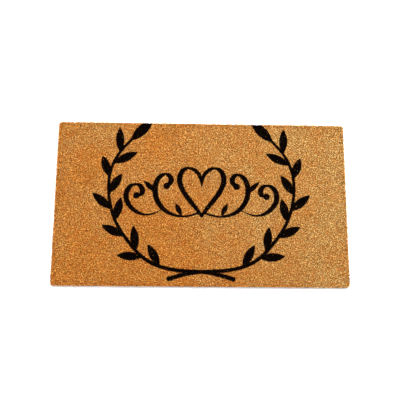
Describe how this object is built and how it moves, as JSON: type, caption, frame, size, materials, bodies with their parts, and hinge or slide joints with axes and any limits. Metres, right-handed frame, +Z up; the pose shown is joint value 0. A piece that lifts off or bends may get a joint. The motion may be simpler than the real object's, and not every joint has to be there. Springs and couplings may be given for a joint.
{
  "type": "door mat",
  "caption": "Rectangular coir door mat on a vinyl backing, printed dark with a leafy wreath round a heart scroll; lies flat on the floor to scrape shoes on.",
  "frame": {"origin": "Centre of the mat's underside, where it lies on the floor", "axes": "+X along the long side, +Y along the short side towards the top of the printed design, +Z up out of the floor"},
  "size_m": [0.762, 0.432, 0.015],
  "materials": {
    "vinyl": "matte, fine fabric emboss",
    "coir": "natural coir bristle pile, matte",
    "printed_coir": "coir bristle pile dyed black at the tips, matte"
  },
  "bodies": {
    "root": {"backing_sheet": "vinyl", "coir_pile": "coir", "wreath_stem": "printed_coir", "left_leaf_01": "printed_coir", "left_leaf_02": "printed_coir", "left_leaf_03": "printed_coir", "left_leaf_04": "printed_coir", "left_leaf_05": "printed_coir", "left_leaf_06": "printed_coir", "left_leaf_07": "printed_coir", "left_leaf_08": "printed_coir", "left_leaf_09": "printed_coir", "left_leaf_10": "printed_coir", "left_leaf_11": "printed_coir", "right_leaf_01": "printed_coir", "right_leaf_02": "printed_coir", "right_leaf_03": "printed_coir", "right_leaf_04": "printed_coir", "right_leaf_05": "printed_coir", "right_leaf_06": "printed_coir", "right_leaf_07": "printed_coir", "right_leaf_08": "printed_coir", "right_leaf_09": "printed_coir", "right_leaf_10": "printed_coir", "right_leaf_11": "printed_coir", "heart": "printed_coir", "left_inner_curl": "printed_coir", "left_outer_curl": "printed_coir", "left_scroll_leaves": "printed_coir", "right_inner_curl": "printed_coir", "right_outer_curl": "printed_coir", "right_scroll_leaves": "printed_coir"}
  },
  "joints": []
}
